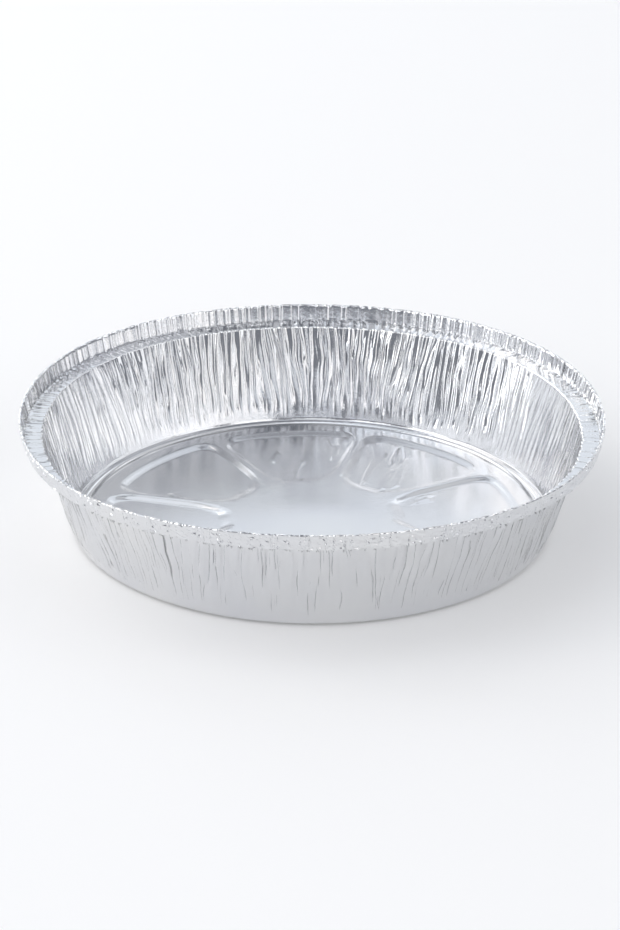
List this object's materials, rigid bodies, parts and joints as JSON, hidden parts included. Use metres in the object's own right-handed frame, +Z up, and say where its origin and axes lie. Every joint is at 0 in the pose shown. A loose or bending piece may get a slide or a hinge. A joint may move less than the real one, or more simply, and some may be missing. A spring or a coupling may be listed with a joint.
{
  "type": "round foil pan",
  "caption": "Round aluminium foil pan with a pleated, sloping wall, a creased ledge, an upright hemmed flange and a base pressed with recessed petals round a raised hub.",
  "frame": {"origin": "centre of the base, on the surface that the pan stands on", "axes": "+Z up out of the pan along its axis; one of the eight spokes of the base's pattern lies 30.5 degrees from +X towards +Y, and the picture's camera stood on the -Y side"},
  "size_m": [0.228, 0.228, 0.0465],
  "materials": {
    "foil": "bright pressed foil, glossy with fine wrinkles"
  },
  "bodies": {
    "root": {"foil_pan": "foil"}
  },
  "joints": []
}
